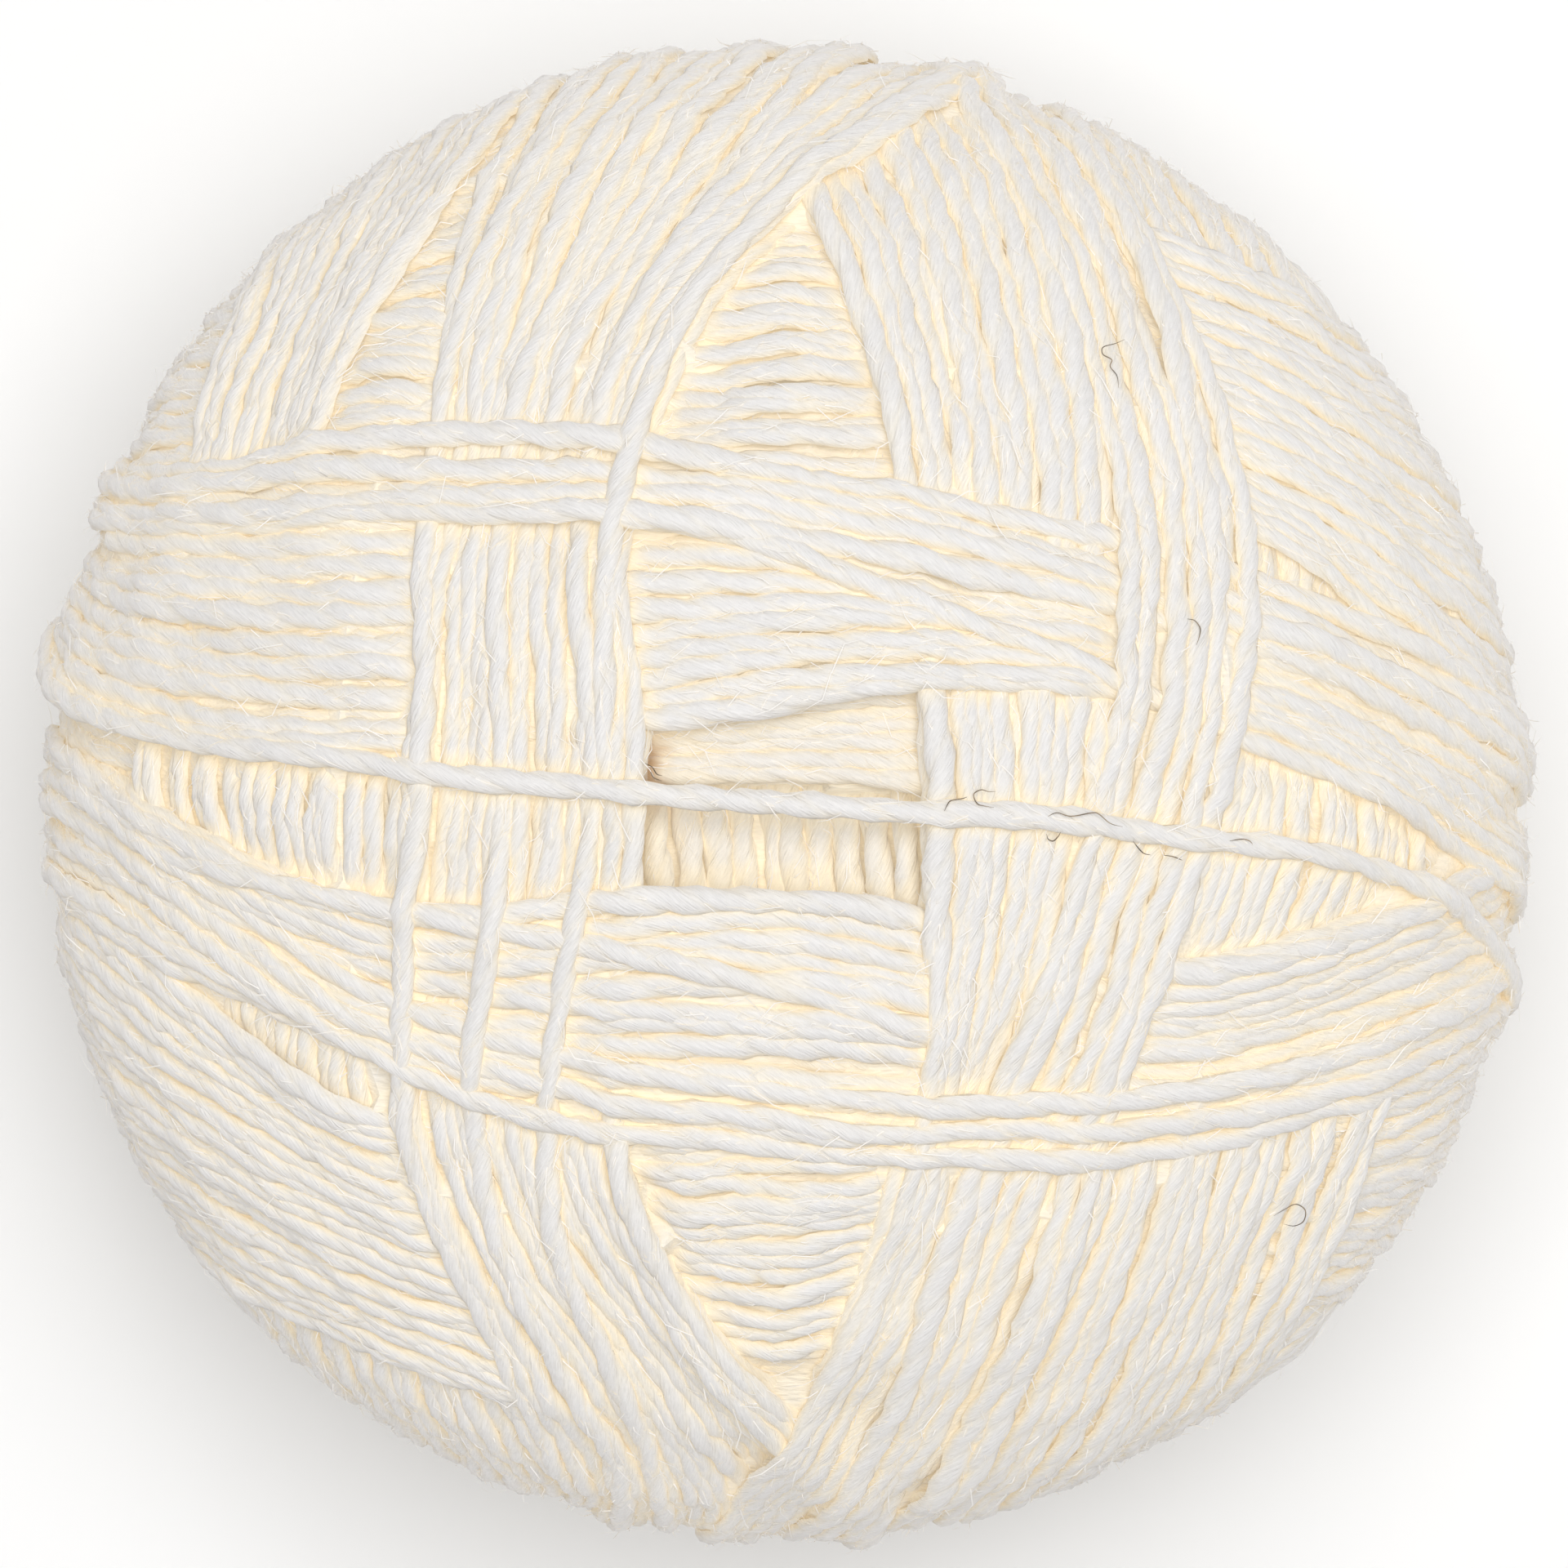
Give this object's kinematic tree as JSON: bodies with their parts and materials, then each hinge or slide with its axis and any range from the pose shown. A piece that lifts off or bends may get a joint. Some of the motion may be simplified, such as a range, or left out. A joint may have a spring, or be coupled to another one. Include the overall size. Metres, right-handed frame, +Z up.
{
  "type": "yarn ball",
  "caption": "Oblate machine-wound ball of two-ply wool yarn with bands of turns crossing round a hollow at its upper pole.",
  "frame": {"origin": "middle of the flat spot that the ball rests on, under the middle of its outline", "axes": "+Z up along the winding axis and out of the hollow, +X along the hollow's longer side"},
  "size_m": [0.085, 0.086, 0.058],
  "materials": {
    "wool": "matt, softly hairy natural cream wool"
  },
  "bodies": {
    "root": {"yarn_ball": "wool"}
  },
  "joints": []
}
